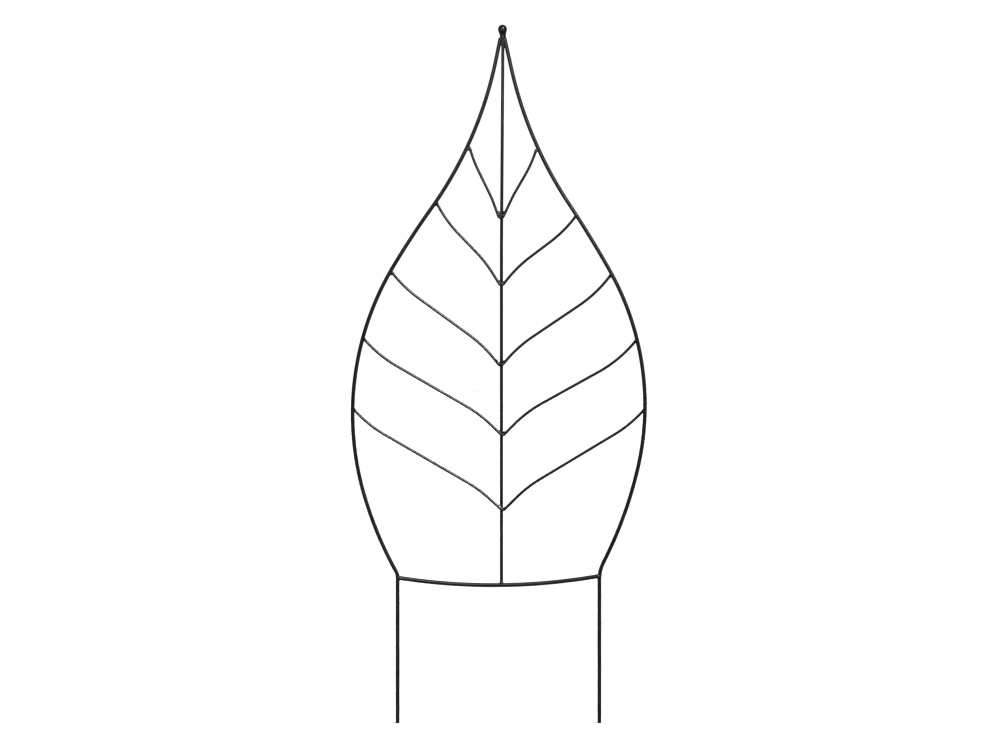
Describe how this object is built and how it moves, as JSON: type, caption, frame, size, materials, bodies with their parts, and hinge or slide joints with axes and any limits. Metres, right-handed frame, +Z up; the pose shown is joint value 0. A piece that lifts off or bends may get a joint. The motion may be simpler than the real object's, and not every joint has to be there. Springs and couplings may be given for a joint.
{
  "type": "garden trellis",
  "caption": "Flat leaf-shaped trellis of bent and welded steel rod, with a midrib, V-shaped veins and a ball finial, on legs that push into the soil.",
  "frame": {"origin": "on the soil line, in the plane of the two rim rods, midway between the widest points of the leaf; the legs reach 230 mm below it", "axes": "+Z up, +X to the right as seen from the front, -Y the front, where the vein wires cross the midrib"},
  "size_m": [0.5085, 0.015, 1.2],
  "materials": {
    "powder_coat": "satin powder coat, near black"
  },
  "bodies": {
    "root": {"left_rim_rod": "powder_coat", "right_rim_rod": "powder_coat", "base_rail": "powder_coat", "midrib_rod": "powder_coat", "vein_wire_1": "powder_coat", "vein_wire_2": "powder_coat", "vein_wire_3": "powder_coat", "vein_wire_4": "powder_coat", "vein_wire_5": "powder_coat", "finial": "powder_coat", "left_rim_welds": "powder_coat", "right_rim_welds": "powder_coat", "midrib_welds": "powder_coat", "rail_welds": "powder_coat", "tip_welds": "powder_coat"}
  },
  "joints": []
}
